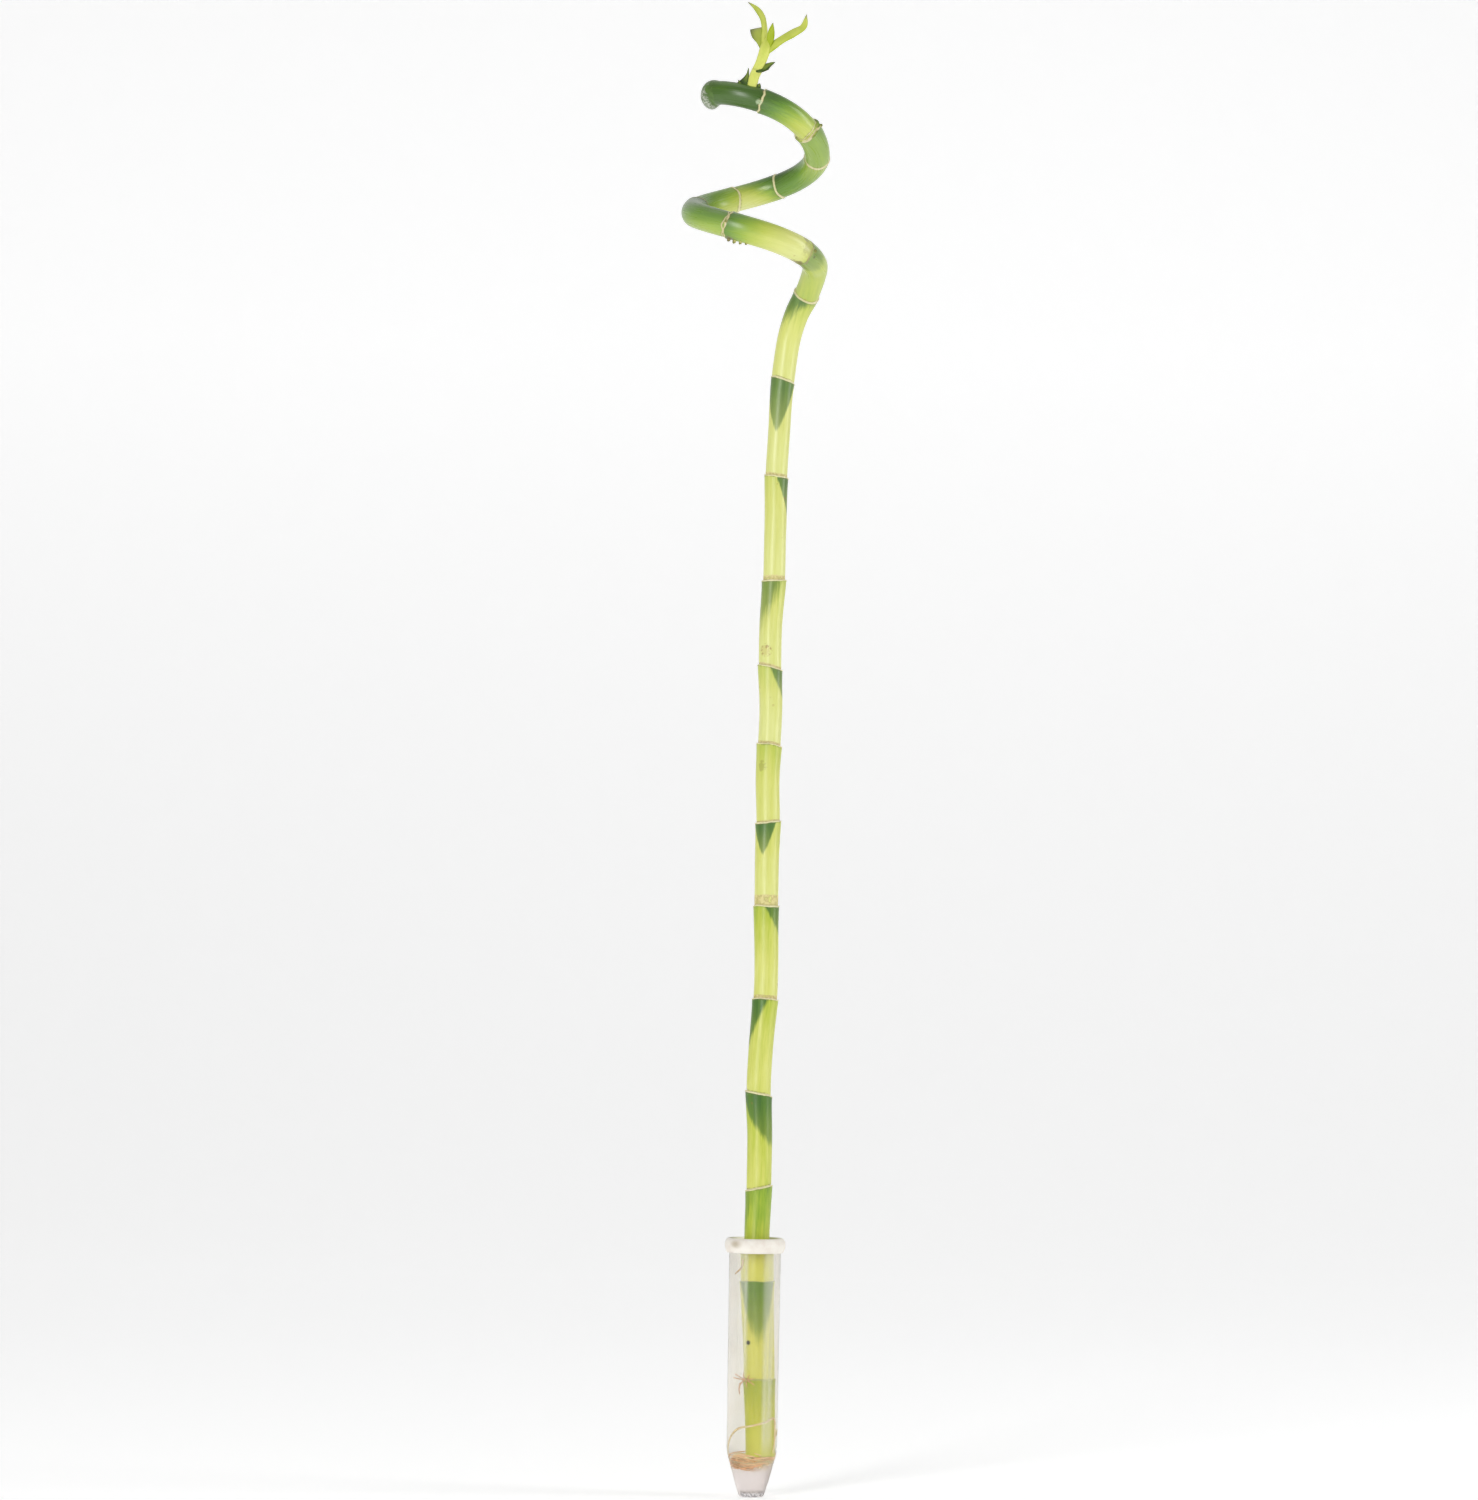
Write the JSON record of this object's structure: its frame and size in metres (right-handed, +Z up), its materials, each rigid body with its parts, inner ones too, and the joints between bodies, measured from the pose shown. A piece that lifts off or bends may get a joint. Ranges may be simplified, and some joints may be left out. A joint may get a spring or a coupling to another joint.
{
  "type": "lucky bamboo",
  "caption": "Spiral lucky bamboo cane with a leafy shoot, standing in a slim clear tube of water with a white cap.",
  "frame": {"origin": "centre of the tube's flat underside, on the surface that it stands on", "axes": "+Z up along the cane, +X to the right and -Y towards the viewer of the picture"},
  "size_m": [0.064, 0.064, 0.6445],
  "materials": {
    "cane": "smooth, softly glossy living stem",
    "wax": "satin wax",
    "shoot": "soft satin leaf",
    "scale": "dry matte leaf",
    "root": "smooth",
    "water": "clear liquid",
    "tube": "clear polished plastic",
    "cap": "satin soft plastic"
  },
  "bodies": {
    "root": {"cane": "cane", "wax_seal": "wax", "leafy_shoot": "shoot", "scale_left": "scale", "scale_right": "scale", "scale_front": "scale", "roots_foot": "root", "roots_node": "root", "root_upper": "root", "water": "water", "tube": "tube", "cap": "cap"}
  },
  "joints": []
}
